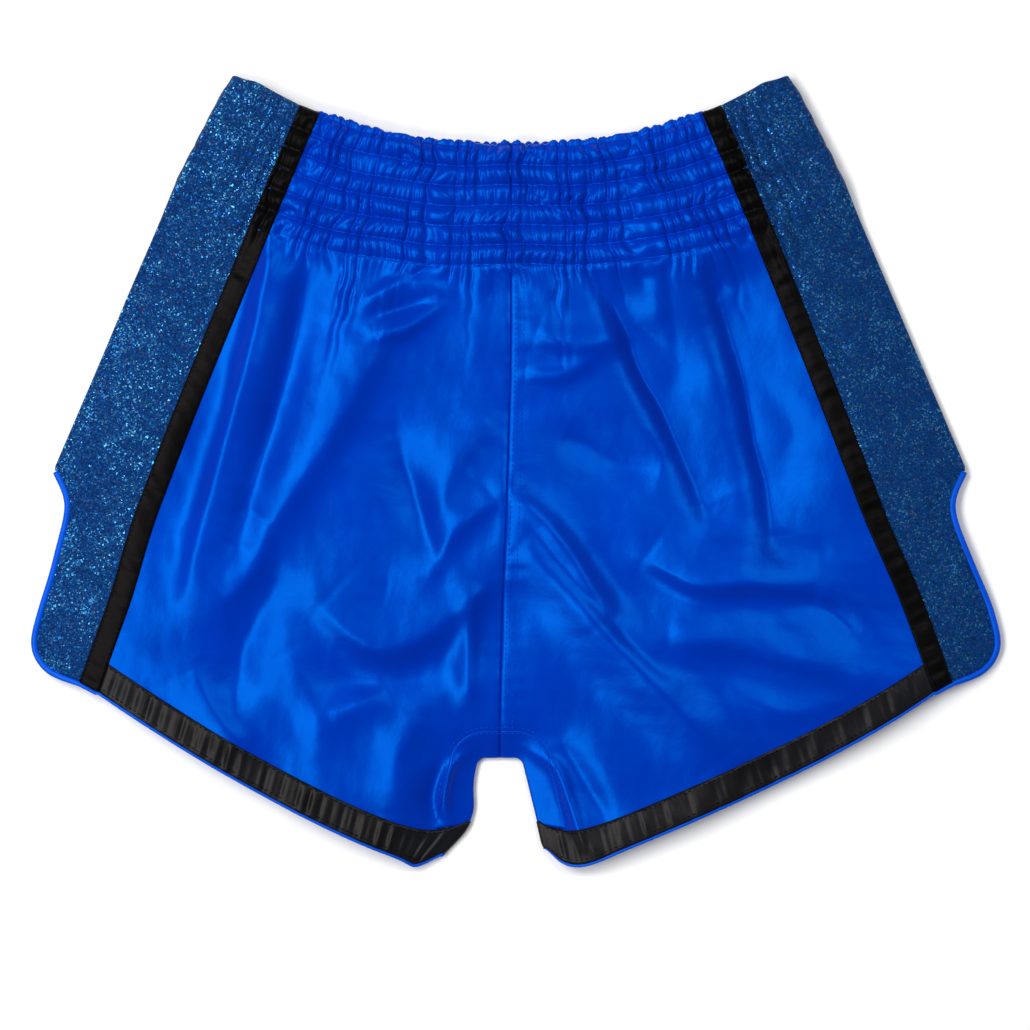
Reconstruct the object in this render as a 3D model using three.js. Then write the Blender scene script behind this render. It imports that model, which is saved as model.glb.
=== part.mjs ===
// Boxing shorts in a Thai-boxing cut, laid flat with the front up: X across, Y up to the waist, Z up.
// Every sewn piece is one sheet of cloth with a real thickness, and each half has its own pieces,
// because the shorts fold in two along the centre seams. Lengths are in millimetres, angles in radians.
// The drawing frame has its origin where the two inner legs meet; the group is centred at the end.
import * as THREE from 'three';

// Overall sizes of the shorts lying flat.
const waistWidth = 306;        // between the two side corners of the waist, gathered by the elastic
const bandFootWidth = 368;     // across the sides, at the foot of the waistband
const hemWidth = 530;          // across the lower corners of the vents
const ventInset = 13.5;        // how much further in the vent's top lies, on each side
const rise = 336;              // from the crotch to the waist edge at the centre seam
const waistDip = 40.6;         // how far the waist edge dips from its corners to the centre
const bandHeight = 64;         // height of the gathered waistband
const ventTop = 158;           // height of the vent's top above the crotch
const ventCorner = 62;         // height of the vent's lower corner above the crotch
const crotchWidth = 24;        // flat width between the two legs
const inseam = 53;             // drop of the inner leg below the crotch
const legSpread = 13;          // how far the inner leg leans out over its drop
const hemSag = 17;             // how far the curved hem hangs below a straight line

// Cut sizes of the pieces.
const ribbonWidth = 10;        // black ribbon between the leg panel and the side panel
const ribbonTop = 115.5;       // ribbon's outer edge from the centre, at the waist
const ribbonFootInset = 25;    // ribbon's outer edge from the vent's lower corner, at the hem
const ribbonFootDrop = 20.5;   // how far that edge ends below the vent's lower corner
const ribbonBow = 3;           // how far the ribbon bows outwards between its ends
const hemBandWidth = 14;       // black band along the leg opening
const bindingWidth = 2.4;      // bias binding on the hem and on both edges of the vent
const gussetWidth = 16;        // crotch gusset, from the inner leg fold to its seam
const crotchRound = 4;         // radius of the corner between crotch and inner leg
const ventNotch = 8;           // how far the vent's edge cuts in below the vent's top
const ventRound = 13;          // how far the vent's rounded corner reaches down to the hem

// Thickness and lie of the cloth.
const cloth = 1;               // panels, ribbons, bands and binding, seams included
const elastic = 1.2;           // waist elastic
const facing = 0.7;            // cloth that covers the elastic inside
const seamGap = 0.3;           // between pieces that are sewn edge to edge
const layerGap = 0.45;         // between layers that lie on each other
const foldRadius = 1.8;        // middle of the cloth, round the side and the inner leg
const bandFoldRadius = 4.4;    // the same at the waistband, which folds round its elastic
const loft = 20;               // height of the front above the surface the shorts lie on
const sideSlope = 70;          // width over which the front rises from the side fold
const legSlope = 50;           // width over which it rises from the inner leg

// Counts of faces along the shapes.
const seamRows = 11;
const panelColumns = 10;
const gussetColumns = 3;
const sideRows = 12;
const ventRows = 9;
const cornerSteps = 5;
const foldSteps = 4;
const bandRows = 4;

const half = cloth / 2;
const ventWidth = hemWidth - 2 * ventInset;
const smooth = (low, high, x) => THREE.MathUtils.smoothstep(x, low, high);
const mix = THREE.MathUtils.lerp;
const point = (x, y) => new THREE.Vector2(x, y);
const between = (a, b, t) => a.clone().lerp(b, t);
const leanOf = (from, to) => Math.atan2(Math.abs(to.x - from.x), Math.abs(to.y - from.y));

// The waist edge: lowest at the centre seam, highest at the side corners.
function waistEdge(x) {
  return point(x, rise + waistDip * (x / (waistWidth / 2)) ** 2.2);
}

// The side of the shorts, from the waist corner to the top of the vent and on to the vent's corner.
const waistCorner = waistEdge(waistWidth / 2);
const sideGather = 0.95;       // the waistband's height at the sides, as a share of its height in front
const bandFootY = waistCorner.y - bandHeight * sideGather;
const sideCorners = [
  waistCorner,
  point(bandFootWidth / 2, bandFootY),
  point(ventWidth / 2, ventTop),
  point(hemWidth / 2, ventCorner),
];
const sideLean = leanOf(sideCorners[1], sideCorners[2]);
const sideFoldOut = point(Math.cos(sideLean), Math.sin(sideLean));

function sideX(y) {
  const below = sideCorners.findIndex((corner) => corner.y <= y);
  const index = below < 0 ? sideCorners.length - 1 : Math.max(below, 1);
  const [high, low] = [sideCorners[index - 1], sideCorners[index]];
  return mix(low.x, high.x, (y - low.y) / (high.y - low.y));
}

// Below the waistband the side fold gets narrower over this height.
const foldTaper = 26;

function sideFoldRadius(y) {
  return mix(foldRadius, bandFoldRadius, smooth(bandFootY - foldTaper, bandFootY - layerGap, y));
}

const sideFoldX = (y) => sideX(y) - sideFoldRadius(y) - half;

// The inner leg: along the crotch, round its corner and down to the hem. The stretch from the centre
// seam to the corner, the corner, and the stretch down the leg each have a share of 0 to 1.
const flatShare = 0.15;
const turnShare = 0.4;
const legLean = Math.atan2(legSpread, inseam);
const cornerCentre = point(crotchWidth / 2 - crotchRound, -crotchRound);

function innerLeg(t, inset) {
  if (t < flatShare) return point(mix(seamGap / 2, cornerCentre.x, t / flatShare), inset);
  const turned = Math.min(1, (t - flatShare) / (turnShare - flatShare));
  const angle = mix(Math.PI / 2, legLean, turned);
  const out = point(Math.cos(angle), Math.sin(angle));
  const round = cornerCentre.clone().addScaledVector(out, crotchRound + inset);
  const down = point(Math.sin(legLean), -Math.cos(legLean));
  const length = (inseam - crotchRound) / Math.cos(legLean);
  return round.addScaledVector(down, length * Math.max(0, (t - turnShare) / (1 - turnShare)));
}

function innerLegOut(t) {
  const step = 0.01;
  const a = innerLeg(Math.max(0, t - step), foldRadius);
  const b = innerLeg(Math.min(1, t + step), foldRadius);
  const along = b.sub(a).normalize();
  return point(along.y, -along.x);
}

const foldInset = foldRadius + half;
const foldLine = (t) => innerLeg(t, foldInset);
const foldPieces = 24;
const foldPoints = Array.from({ length: foldPieces + 1 }, (_, index) => foldLine(index / foldPieces));

function distanceToInnerLeg(x, y) {
  const here = new THREE.Vector3(Math.abs(x), y, 0);
  const nearest = new THREE.Vector3();
  let best = Infinity;
  for (let index = 1; index < foldPoints.length; index += 1) {
    const [a, b] = [foldPoints[index - 1], foldPoints[index]];
    const side = new THREE.Line3(new THREE.Vector3(a.x, a.y, 0), new THREE.Vector3(b.x, b.y, 0));
    side.closestPointToPoint(here, true, nearest);
    best = Math.min(best, nearest.distanceTo(here));
  }
  return best;
}

// Height of the middle of the front cloth: low at the folds, lofted between them.
function frontHeight(p) {
  const low = half + 2 * sideFoldRadius(p.y);
  const arch = (distance, width) => Math.sin(Math.PI / 2 * THREE.MathUtils.clamp(distance / width, 0, 1));
  const fromSide = arch(sideFoldX(p.y) - Math.abs(p.x), sideSlope);
  const fromLeg = arch(distanceToInnerLeg(p.x, p.y), legSlope);
  return low + (loft - half - low) * fromSide * fromLeg;
}

// The ribbon's edges, from the waist to the hem, at a distance across from its outer edge.
const ribbonFoot = point(hemWidth / 2 - ribbonFootInset, ventCorner - ribbonFootDrop);
const ribbonAcross = ribbonWidth / Math.cos(leanOf(waistEdge(ribbonTop), ribbonFoot));
const hemLean = Math.PI / 2 - leanOf(ribbonFoot, point(crotchWidth / 2 + legSpread, -inseam));
const footSlope = Math.tan(hemLean) + hemSag / (ribbonFoot.x - crotchWidth / 2 - legSpread);

function ribbonEdge(t, across) {
  const top = waistEdge(ribbonTop - across);
  const foot = ribbonFoot.clone().add(point(-across, -across * footSlope));
  const bow = ribbonBow * 4 * t * (1 - t);
  return between(top, foot, t).add(point(bow, 0));
}

const ribbonLength = ribbonEdge(0, 0).distanceTo(ribbonEdge(1, 0));
const slant = 1 / Math.cos(hemLean);
const upRibbon = (depth) => 1 - depth * slant / ribbonLength;
const upLeg = (depth) => 1 - depth * slant * (1 - turnShare) / (inseam - crotchRound);

// A line that runs along the hem, at a depth inside its edge, from the ribbon to the inner leg fold.
function hemLine(u, depth) {
  const start = ribbonEdge(upRibbon(depth), ribbonAcross + seamGap);
  const end = foldLine(upLeg(depth));
  const sag = hemSag * (1 - (1 - u) ** 3) * (1 - u ** 14);
  return between(start, end, u).add(point(0, -sag));
}

// The vent's edge, from the hem corner up to the vent's top; the lower corner is a fifth of the way.
const ventCornerAt = 0.2;
const ventEdge = new THREE.SplineCurve([
  ribbonEdge(1, 0),
  point(hemWidth / 2 - ventRound * 0.6, ventCorner - ventRound),
  point(hemWidth / 2, ventCorner + seamGap),
  point(mix(hemWidth, ventWidth, 0.25) / 2, mix(ventCorner, ventTop, 0.2)),
  point(mix(hemWidth, ventWidth, 0.65) / 2 - ventNotch * 0.6, mix(ventCorner, ventTop, 0.5)),
  point(ventWidth / 2 - ventNotch, mix(ventCorner, ventTop, 0.8)),
  point(sideFoldX(ventTop) + half, ventTop),
]);

// Stops along the vent's edge: from the ribbon round the lower corner, and then up to the vent's top.
const ventStops = cornerSteps + ventRows;

function ventLine(stop, inset) {
  if (stop === 0) return ribbonEdge(upRibbon(inset), 0);
  const climbed = (ventStops - stop) / ventRows;
  const onCorner = ventCornerAt * stop / cornerSteps;
  const t = stop < cornerSteps ? onCorner : mix(1, ventCornerAt, climbed ** 1.4);
  const along = ventEdge.getTangent(t);
  return ventEdge.getPoint(t).addScaledVector(point(-along.y, along.x), inset);
}

// A flat patch between four edges, each a function of 0 to 1 (Coons patch).
function patch({ top, bottom, left, right }) {
  return (u, v) => {
    const across = between(top(u), bottom(u), v);
    const down = between(left(v), right(v), u);
    const corners = between(between(top(0), top(1), u), between(bottom(0), bottom(1), u), v);
    return across.add(down).sub(corners);
  };
}

const front = (p, depth = 0) => new THREE.Vector3(p.x, p.y, frontHeight(p) - depth);
const back = (p, depth = 0) => new THREE.Vector3(p.x, p.y, half + depth);

// The bend of the cloth at a fold, angle from PI / 2 on the front to -PI / 2 on the back.
function bend(centre, out, radius, depth, angle) {
  const inner = radius - depth;
  const reach = inner * Math.cos(angle);
  return new THREE.Vector3(
    centre.x + out.x * reach,
    centre.y + out.y * reach,
    half + radius + inner * Math.sin(angle),
  );
}

// Rows of points that run over the front, round a fold and over the back.
function wrapRow({ frontAt, backAt, out, radius, depth, steps, backSteps }) {
  const row = [];
  for (let j = 0; j <= steps; j += 1) row.push(front(frontAt(j / steps), depth));
  const centre = frontAt(1);
  for (let j = 1; j < foldSteps; j += 1) {
    const angle = mix(Math.PI / 2, -Math.PI / 2, j / foldSteps);
    row.push(bend(centre, out, radius, depth, angle));
  }
  for (let j = backSteps; j >= 0; j -= 1) row.push(back(backAt(j / backSteps), depth));
  return row;
}

// Gives a grid of points a thickness and closes its edges; cells for which open() is true are left out.
function sheetGeometry(rows, thickness, open = () => false) {
  const height = rows.length;
  const width = rows[0].length;
  const at = (i, j) => rows[Math.min(Math.max(i, 0), height - 1)][Math.min(Math.max(j, 0), width - 1)];
  const positions = [];
  for (const side of [1, -1]) {
    for (let i = 0; i < height; i += 1) {
      for (let j = 0; j < width; j += 1) {
        const down = at(i + 1, j).clone().sub(at(i - 1, j));
        const across = at(i, j + 1).clone().sub(at(i, j - 1));
        const normal = down.cross(across).normalize();
        const p = at(i, j).clone().addScaledVector(normal, side * thickness / 2);
        positions.push(p.x, p.y, p.z);
      }
    }
  }
  const kept = (i, j) => i >= 0 && j >= 0 && i < height - 1 && j < width - 1 && !open(i, j);
  const outer = (i, j) => i * width + j;
  const inner = (i, j) => height * width + outer(i, j);
  const indices = [];
  const quad = (a, b, c, d) => indices.push(a, b, c, a, c, d);
  const wall = (a, b) => quad(outer(...a), inner(...a), inner(...b), outer(...b));
  for (let i = 0; i < height - 1; i += 1) {
    for (let j = 0; j < width - 1; j += 1) {
      if (!kept(i, j)) continue;
      quad(outer(i, j), outer(i + 1, j), outer(i + 1, j + 1), outer(i, j + 1));
      quad(inner(i, j), inner(i, j + 1), inner(i + 1, j + 1), inner(i + 1, j));
      if (!kept(i - 1, j)) wall([i, j + 1], [i, j]);
      if (!kept(i + 1, j)) wall([i + 1, j], [i + 1, j + 1]);
      if (!kept(i, j - 1)) wall([i, j], [i + 1, j]);
      if (!kept(i, j + 1)) wall([i + 1, j + 1], [i, j + 1]);
    }
  }
  return { positions, indices };
}

function signedVolume({ positions, indices }) {
  const corner = (index) => new THREE.Vector3().fromArray(positions, index * 3);
  let volume = 0;
  for (let k = 0; k < indices.length; k += 3) {
    const [a, b, c] = [corner(indices[k]), corner(indices[k + 1]), corner(indices[k + 2])];
    volume += a.dot(b.cross(c)) / 6;
  }
  return volume;
}

// One half of the shorts is drawn at +X, and its twin is its mirror image, with the faces turned back.
function sheetMesh(name, material, shape, side) {
  const positions = shape.positions.map((value, index) => (index % 3 === 0 ? value * side : value));
  const mirrored = { positions, indices: shape.indices.slice() };
  if (signedVolume(mirrored) < 0) mirrored.indices.reverse();
  const geometry = new THREE.BufferGeometry();
  geometry.setAttribute('position', new THREE.Float32BufferAttribute(positions, 3));
  geometry.setIndex(mirrored.indices);
  geometry.computeVertexNormals();
  const mesh = new THREE.Mesh(geometry, material);
  mesh.name = name;
  return mesh;
}

function gridRows(count, columns, at) {
  return Array.from({ length: count + 1 }, (_, i) => (
    Array.from({ length: columns + 1 }, (__, j) => at(j / columns, i / count))
  ));
}

const bandDepth = bindingWidth + seamGap;                       // hem edge to hem band
const panelDepth = bandDepth + hemBandWidth + seamGap;          // hem edge to leg panel
const gussetShare = 1 - gussetWidth / hemLine(0, panelDepth).distanceTo(hemLine(1, panelDepth));

// The gusset's seam and fold follow the inner leg: stops along it, from the centre seam to the hem.
const turnPieces = 4;
const turnStops = Array.from({ length: turnPieces + 1 }, (_, k) => mix(flatShare, turnShare, k / turnPieces));
const legStops = [0, ...turnStops];
const turnRows = legStops.length - 1;
const panelRows = seamRows + turnRows + 1;

function gussetSeam(stop, inset) {
  const atHem = hemLine(gussetShare, panelDepth).add(point(inset - gussetWidth - seamGap, 0));
  if (stop > turnRows) return between(innerLeg(legStops[turnRows], inset), atHem, stop - turnRows);
  const above = Math.min(Math.floor(stop), turnRows - 1);
  return innerLeg(mix(legStops[above], legStops[above + 1], stop - above), inset);
}

// Satin leg panel: from the centre seam to the ribbon, and from the waist edge to the hem band.
function legPanel(layer) {
  const seam = gussetWidth + seamGap;
  const seamEdge = (t) => {
    const row = t * panelRows;
    const onCentreSeam = point(seamGap / 2, mix(rise, seam, Math.min(1, row / seamRows)));
    return row <= seamRows ? onCentreSeam : gussetSeam(row - seamRows, seam);
  };
  const panel = patch({
    top: (u) => waistEdge(mix(seamGap / 2, ribbonTop - ribbonAcross - seamGap, u)),
    bottom: (u) => hemLine(gussetShare * (1 - u), panelDepth),
    left: seamEdge,
    right: (t) => ribbonEdge(t * upRibbon(panelDepth), ribbonAcross + seamGap),
  });
  return sheetGeometry(gridRows(panelRows, panelColumns, (u, v) => layer(panel(u, v))), cloth);
}

function ribbon(layer) {
  const foot = upRibbon(bandDepth);
  const strip = patch({
    top: (u) => waistEdge(ribbonTop - ribbonAcross * (1 - u)),
    bottom: (u) => between(ribbonEdge(foot, ribbonAcross), ribbonEdge(foot, 0), u),
    left: (t) => ribbonEdge(t * foot, ribbonAcross),
    right: (t) => ribbonEdge(t * foot, 0),
  });
  return sheetGeometry(gridRows(panelRows, 1, (u, v) => layer(strip(u, v))), cloth);
}

const sideFoldPoint = (y) => point(sideFoldX(y), y);

// Heights of the side fold's rows: closer together where the fold widens round the elastic.
function sideFoldHeight(t) {
  const closeShare = 0.45;
  const taperFoot = bandFootY - foldTaper;
  if (t < closeShare) return mix(waistCorner.y, taperFoot, t / closeShare);
  return mix(taperFoot, ventTop, (t - closeShare) / (1 - closeShare));
}

// Side panel: round the side fold from the front ribbon to the back ribbon, and open at the vent.
function sidePanel() {
  const rowCount = sideRows + ventRows;
  const inset = bindingWidth + 2 * seamGap;
  const foot = upRibbon(inset);
  const outerEdge = (t) => {
    const row = t * rowCount;
    if (row <= sideRows) return sideFoldPoint(sideFoldHeight(row / sideRows));
    return ventLine(ventStops - (row - sideRows), inset);
  };
  const panel = patch({
    top: (u) => waistEdge(mix(ribbonTop + seamGap, outerEdge(0).x, u)),
    bottom: (u) => (u === 0 ? ribbonEdge(foot, -seamGap) : ventLine(u * cornerSteps, inset)),
    left: (t) => ribbonEdge(t * foot, -seamGap),
    right: outerEdge,
  });
  const rows = [];
  for (let i = 0; i <= rowCount; i += 1) {
    const at = (u) => panel(u, i / rowCount);
    const radius = i <= sideRows ? sideFoldRadius(at(1).y) : foldRadius;
    const wrap = { frontAt: at, backAt: at, out: sideFoldOut, radius, depth: 0 };
    rows.push(wrapRow({ ...wrap, steps: cornerSteps, backSteps: cornerSteps }));
  }
  const open = (i, j) => i >= sideRows && j >= cornerSteps && j < cornerSteps + foldSteps;
  return sheetGeometry(rows, cloth, open);
}

// A strip that runs along the hem, front and back, and turns round the inner leg fold.
const hemSteps = panelColumns + gussetColumns;

function hemShare(step) {
  if (step <= panelColumns) return gussetShare * step / panelColumns;
  return mix(gussetShare, 1, (step - panelColumns) / gussetColumns);
}

function hemStrip(outerDepth, innerDepth, edgeRow) {
  return [outerDepth, innerDepth].map((depth) => {
    const at = (u) => hemLine(hemShare(u * hemSteps), depth);
    const out = innerLegOut(1);
    const along = { frontAt: at, backAt: at, out, radius: foldRadius, depth: 0 };
    const row = wrapRow({ ...along, steps: hemSteps, backSteps: hemSteps });
    return edgeRow ? edgeRow(depth, row) : row;
  });
}

const hemBand = () => sheetGeometry(hemStrip(bandDepth, bandDepth + hemBandWidth), cloth);

// Bias binding: down the front edge of the vent, along the hem, round the inner leg and back up.
function binding() {
  const withVentEdges = (depth, row) => {
    const edge = [];
    for (let stop = ventStops - 1; stop >= 0; stop -= 1) edge.push(ventLine(stop, depth));
    const down = edge.map((p) => front(p));
    const up = edge.map((p) => back(p)).reverse();
    return [...down, ...row, ...up];
  };
  return sheetGeometry(hemStrip(0, bindingWidth, withVentEdges), cloth);
}

// Gusset: a strip folded round the inner leg, from the centre seam along the crotch to the hem band.
function gusset() {
  const legRows = 3;
  const rowCount = turnRows + legRows;
  const stopAt = (row) => Math.min(row, turnRows) + Math.max(0, row - turnRows) / legRows;
  const legShare = (stop) => {
    const turned = legStops[Math.min(turnRows, Math.floor(stop))];
    return stop > turnRows ? mix(turned, upLeg(panelDepth), stop - turnRows) : turned;
  };
  const flat = patch({
    top: (u) => innerLeg(0, mix(gussetWidth, foldInset, u)),
    bottom: (u) => hemLine(mix(gussetShare, 1, u), panelDepth).add(point(-seamGap * (1 - u), 0)),
    left: (t) => gussetSeam(stopAt(t * rowCount), gussetWidth),
    right: (t) => foldLine(legShare(stopAt(t * rowCount))),
  });
  const rows = [];
  for (let i = 0; i <= rowCount; i += 1) {
    const at = (u) => flat(u, i / rowCount);
    const out = innerLegOut(legShare(stopAt(i)));
    const wrap = { frontAt: at, backAt: at, out, radius: foldRadius, depth: 0 };
    rows.push(wrapRow({ ...wrap, steps: gussetColumns, backSteps: gussetColumns }));
  }
  return sheetGeometry(rows, cloth);
}

// A layer of the waistband inside the panels: front, round the side fold, back.
function bandLayer(depth, thickness, topInset, footInset) {
  const steps = 12;
  const rows = [];
  for (let i = 0; i <= bandRows; i += 1) {
    const drop = mix(topInset, bandHeight - footInset, i / bandRows);
    const sideY = waistCorner.y - drop * sideGather;
    const end = sideFoldPoint(sideY);
    const at = (u) => {
      const share = mix(seamGap / 2 / end.x, 1, u);
      const curve = waistDip * (share ** 2.2 - share);
      const straight = between(point(0, rise - drop), end, share);
      return straight.add(point(0, curve));
    };
    const radius = sideFoldRadius(sideY);
    rows.push(wrapRow({ frontAt: at, backAt: at, out: sideFoldOut, radius, depth, steps, backSteps: 6 }));
  }
  return sheetGeometry(rows, thickness);
}

const elasticDepth = half + layerGap + elastic / 2;
const facingDepth = elasticDepth + elastic / 2 + layerGap + facing / 2;
const waistElastic = () => bandLayer(elasticDepth, elastic, 2, 1);
const waistFacing = () => bandLayer(facingDepth, facing, 1, 0);

const satin = new THREE.MeshStandardMaterial({ color: '#0038c0', roughness: 0.35, metalness: 0 });
const glitter = new THREE.MeshStandardMaterial({ color: '#123a78', roughness: 0.45, metalness: 0.2 });
const ribbonCloth = new THREE.MeshStandardMaterial({ color: '#16171c', roughness: 0.4, metalness: 0 });
const bindingCloth = new THREE.MeshStandardMaterial({ color: '#0048c8', roughness: 0.5, metalness: 0 });
const elasticCloth = new THREE.MeshStandardMaterial({ color: '#e8e8e4', roughness: 0.9, metalness: 0 });

const shorts = new THREE.Group();
const pieces = [
  ['front_panel', satin, legPanel(front)],
  ['back_panel', satin, legPanel(back)],
  ['side_panel', glitter, sidePanel()],
  ['front_ribbon', ribbonCloth, ribbon(front)],
  ['back_ribbon', ribbonCloth, ribbon(back)],
  ['hem_band', ribbonCloth, hemBand()],
  ['hem_binding', bindingCloth, binding()],
  ['gusset', satin, gusset()],
  ['waist_elastic', elasticCloth, waistElastic()],
  ['waist_facing', satin, waistFacing()],
];
for (const [name, material, shape] of pieces) {
  shorts.add(sheetMesh(`${name}_right`, material, shape, 1));
  shorts.add(sheetMesh(`${name}_left`, material, shape, -1));
}

// The origin is the middle of the underside.
const box = new THREE.Box3().setFromObject(shorts);
shorts.position.set(0, -(box.min.y + box.max.y) / 2, -box.min.z);

export default shorts;
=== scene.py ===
import math

import bpy
import numpy as np
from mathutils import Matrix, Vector


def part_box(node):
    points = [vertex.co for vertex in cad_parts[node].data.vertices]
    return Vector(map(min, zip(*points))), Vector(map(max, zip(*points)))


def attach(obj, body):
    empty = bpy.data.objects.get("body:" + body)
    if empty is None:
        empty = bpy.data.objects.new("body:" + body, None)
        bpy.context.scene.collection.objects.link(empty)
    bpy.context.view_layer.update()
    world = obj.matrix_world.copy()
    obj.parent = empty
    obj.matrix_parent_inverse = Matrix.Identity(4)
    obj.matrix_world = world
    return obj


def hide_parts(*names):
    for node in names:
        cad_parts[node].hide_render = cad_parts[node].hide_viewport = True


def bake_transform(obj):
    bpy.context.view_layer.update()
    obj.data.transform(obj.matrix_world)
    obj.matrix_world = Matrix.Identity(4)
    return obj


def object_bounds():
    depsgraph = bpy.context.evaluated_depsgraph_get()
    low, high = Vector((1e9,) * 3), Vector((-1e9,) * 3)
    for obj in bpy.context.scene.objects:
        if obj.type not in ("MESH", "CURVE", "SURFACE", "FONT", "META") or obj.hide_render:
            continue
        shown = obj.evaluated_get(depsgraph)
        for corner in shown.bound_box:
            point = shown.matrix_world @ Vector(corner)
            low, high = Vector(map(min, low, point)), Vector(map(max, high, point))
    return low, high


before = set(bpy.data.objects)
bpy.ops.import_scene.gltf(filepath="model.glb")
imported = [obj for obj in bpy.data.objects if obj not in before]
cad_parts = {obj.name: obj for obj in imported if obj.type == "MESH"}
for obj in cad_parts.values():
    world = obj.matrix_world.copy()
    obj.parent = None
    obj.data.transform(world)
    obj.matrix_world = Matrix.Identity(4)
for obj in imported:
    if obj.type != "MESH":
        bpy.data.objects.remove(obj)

cad_low, cad_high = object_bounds()

# Thai-boxing shorts laid flat, front up. Shapes are worked out in millimetres in the drawing frame, whose
# origin is the middle of the crotch, and turned into metres in the shared frame by to_frame().
MM = 0.001

# ---------------------------------------------------------------- sizes, in millimetres
RISE = 336.0             # crotch to waist edge at the centre seam
WAIST_HALF = 153.0       # centre to the side corner of the waist
WAIST_DIP = 40.6         # how far the waist edge dips to its centre
BAND = 64.0              # height of the gathered waistband
ROW_PITCH = 10.9         # between two stitched rows of the waistband
ROW_COUNT = 6
BAND_FOOT_HALF = 184.0   # centre to the side, at the foot of the waistband
SIDE_GATHER = 0.95       # the band's height at the sides, as a share of its height in front
HEM_HALF = cad_high.x / MM
VENT_INSET = 13.5        # how much further in the vent's top lies
VENT_TOP = 158.0         # above the crotch
VENT_CORNER = 62.0
VENT_NOTCH = 8.0
VENT_ROUND = 13.0
CROTCH_HALF = 12.0
CROTCH_ROUND = 4.0
INSEAM = 53.0
LEG_SPREAD = 13.0
HEM_SAG = 17.0
RIBBON = 10.0            # ribbon width
RIBBON_TOP = 115.5
RIBBON_FOOT_INSET = 25.0
RIBBON_FOOT_DROP = 20.5
RIBBON_BOW = 3.0
HEM_BAND = 14.0
BINDING = 2.4
GUSSET = 16.0
LOFT = 13.5              # height of the front cloth between its folds
FOLD_R = 2.0             # half the gap between front and back at the side and inner leg folds
BAND_FOLD_R = 4.6        # the same at the waistband
CLOTH = 0.5              # thickness of the satin
OVER = CLOTH + 0.15      # how far a ribbon or band lies above the cloth that it is sewn on
GUSSET_OVER = 0.12       # how far the gusset lies above the panels that it is sewn to
HEM_PUCKER = 0.75        # height of the hem tape's crosswise ripples
BINDING_DEPTH = 0.85     # half the binding's thickness
ELASTIC_DEPTH = 0.6      # middle of the elastic, inside the pleats' lowest points
ELASTIC_THICK = 0.8
FACING_DEPTH = 1.7       # middle of the facing that covers the elastic inside
FACING_THICK = 0.5
TUCK = 2.0               # how far an edge runs on under the piece that covers it
THREAD_RADIUS = 0.27
LEAST_AIR = 0.6          # between the front cloth and the back cloth, where a valley rests on the back
REST_EASE = 0.5          # how softly such a valley flattens out
CROTCH_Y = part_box("gusset_right")[1].y / MM - GUSSET

RIGHT, LEFT = 1, -1
SIDE_NAME = {RIGHT: "right", LEFT: "left"}


def to_frame(points):
    """Millimetres in the drawing frame to metres in the shared frame, as laid down by hand."""
    moved = as_laid(np.array(points, float))
    moved[..., 1] += CROTCH_Y
    return moved * MM


def as_laid(points):
    """The shorts don't lie quite square: the crotch is a little to the left, the left leg's inner corner
    is pulled out to a point, and the right leg's is rounded."""
    x, y = points[..., 0].copy(), points[..., 1].copy()
    middle = -2.6 - 6.2 * smooth(250, 0, y)
    sides = -3.2 * smooth(80, 140, y)
    near = 1 - smooth(60, 220, np.abs(x))
    points[..., 0] += mix(sides, middle, near)
    points[..., 0] -= 11.0 * smooth(-38, -58, y) * bump(x + 30, 17)
    points[..., 0] += 4.6 * bump(y + 30, 13) * bump(x + 16, 14)
    points[..., 1] -= 3.0 * smooth(-38, -58, y) * bump(x + 34, 15)
    points[..., 1] += 5.0 * bump(x - 22, 8) * smooth(-44, -56, y)
    points[..., 1] -= 2.6 * bump(x - 44, 16) * smooth(-36, -52, y)
    return points


# ---------------------------------------------------------------- small maths
def mix(a, b, t):
    return a + (b - a) * t


def smooth(low, high, x):
    t = np.clip((x - low) / (high - low), 0, 1)
    return t * t * (3 - 2 * t)


def bump(x, width):
    return np.exp(-((x / width) ** 2))


def xy(x, y):
    return np.stack(np.broadcast_arrays(np.asarray(x, float), np.asarray(y, float)), -1)


def waves(x, y, length, seed, count=9):
    """Smooth noise of about -1 to 1: a sum of plane waves about `length` millimetres long."""
    rng = np.random.default_rng(seed)
    total = np.zeros(np.broadcast(x, y).shape)
    for _ in range(count):
        angle = rng.uniform(0, 2 * math.pi)
        k = 2 * math.pi / (length * rng.uniform(0.7, 1.5))
        phase = rng.uniform(0, 2 * math.pi)
        total += np.sin(k * (math.cos(angle) * x + math.sin(angle) * y) + phase)
    return total / math.sqrt(count) / 1.2


def spline(corners, per_span=16):
    """Catmull-Rom curve through the corners, as a dense row of points."""
    pts = np.array(corners, float)
    ends = np.vstack([pts[:1], pts, pts[-1:]])
    t = np.linspace(0, 1, per_span, endpoint=False)[:, None]
    spans = []
    for a, b, c, d in zip(ends, ends[1:], ends[2:], ends[3:]):
        spans.append(
            0.5 * (2 * b + (c - a) * t + (2 * a - 5 * b + 4 * c - d) * t**2 + (3 * b - a - 3 * c + d) * t**3)
        )
    return np.vstack(spans + [pts[-1:]])


def along(line, t):
    """Points at shares t of a dense line's length."""
    steps = np.r_[0, np.cumsum(np.linalg.norm(np.diff(line, axis=0), axis=1))]
    where = np.asarray(t) * steps[-1]
    return np.stack([np.interp(where, steps, line[:, k]) for k in range(line.shape[1])], -1)


# ---------------------------------------------------------------- the outline and the seams
def waist_edge(x):
    return xy(x, RISE + WAIST_DIP * (np.abs(x) / WAIST_HALF) ** 2.2)


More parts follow.
